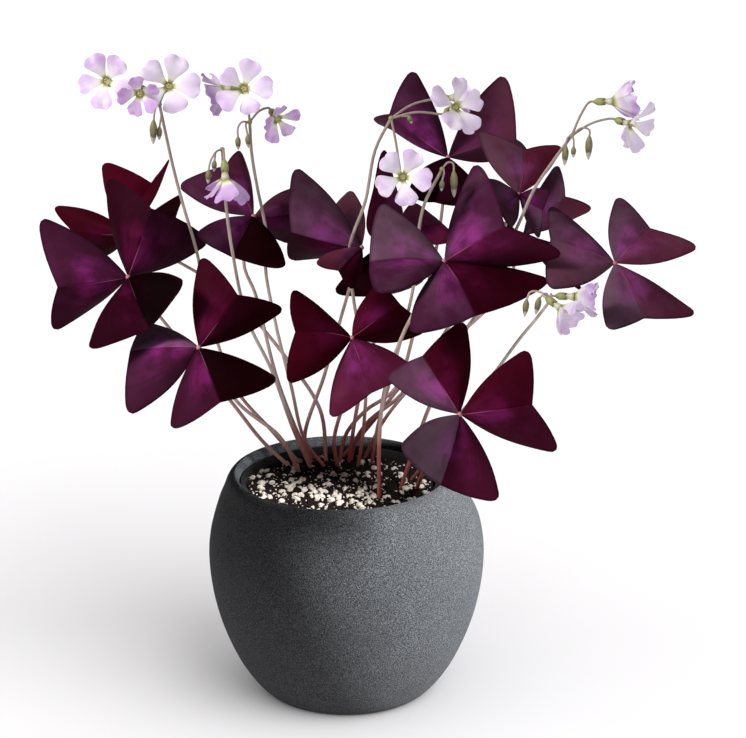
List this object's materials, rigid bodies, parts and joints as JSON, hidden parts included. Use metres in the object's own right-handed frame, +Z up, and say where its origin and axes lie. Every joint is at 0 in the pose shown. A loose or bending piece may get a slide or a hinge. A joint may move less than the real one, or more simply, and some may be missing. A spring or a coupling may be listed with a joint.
{
  "type": "potted plant",
  "caption": "Purple shamrock in a round-bellied speckled pot: folded three-part leaves on thin stems, lilac flowers on taller stalks, and dark soil with perlite.",
  "frame": {"origin": "middle of the pot's flat underside", "axes": "+Z up, +X to the right and +Y to the back as the plant is seen from the front"},
  "size_m": [0.3312, 0.1872, 0.3357],
  "materials": {
    "pot": "matt charcoal with a fine sandy speckle",
    "liner": "thin dark grey plastic, satin",
    "soil": "loose dark compost with pale perlite lumps",
    "blade": "soft satin, dark purple with a magenta flame along each midrib",
    "leaf_stalk": "satin, reddish brown",
    "flower_stalk": "satin, greenish tan",
    "petals": "thin and silky, pale lilac with a green throat"
  },
  "bodies": {
    "root": {"bloom_left_1": "petals", "bloom_left_2": "petals", "bloom_left_3": "petals", "bloom_low_right_13": "petals", "bloom_low_right_14": "petals", "bloom_middle_10": "petals", "bloom_middle_8": "petals", "bloom_middle_9": "petals", "bloom_middle_left_7": "petals", "bloom_right_11": "petals", "bloom_right_12": "petals", "bloom_upper_left_4": "petals", "bloom_upper_left_5": "petals", "bloom_upper_left_6": "petals", "flower_stalk_left": "flower_stalk", "flower_stalk_low_right": "flower_stalk", "flower_stalk_middle": "flower_stalk", "flower_stalk_middle_left": "flower_stalk", "flower_stalk_right": "flower_stalk", "flower_stalk_short": "flower_stalk", "flower_stalk_upper_left": "flower_stalk", "leaf_big_right": "blade", "leaf_front": "blade", "leaf_left": "blade", "leaf_left_back": "blade", "leaf_low_left": "blade", "leaf_low_middle": "blade", "leaf_middle": "blade", "leaf_middle_back": "blade", "leaf_right": "blade", "leaf_right_back": "blade", "leaf_stalk_big_right": "leaf_stalk", "leaf_stalk_front": "leaf_stalk", "leaf_stalk_left": "leaf_stalk", "leaf_stalk_left_back": "leaf_stalk", "leaf_stalk_low_left": "leaf_stalk", "leaf_stalk_low_middle": "leaf_stalk", "leaf_stalk_middle": "leaf_stalk", "leaf_stalk_middle_back": "leaf_stalk", "leaf_stalk_right": "leaf_stalk", "leaf_stalk_right_back": "leaf_stalk", "leaf_stalk_top": "leaf_stalk", "leaf_stalk_upper_left": "leaf_stalk", "leaf_stalk_upper_right": "leaf_stalk", "leaf_top": "blade", "leaf_upper_left": "blade", "leaf_upper_right": "blade", "liner": "liner", "pot": "pot", "soil": "soil"}
  },
  "joints": []
}
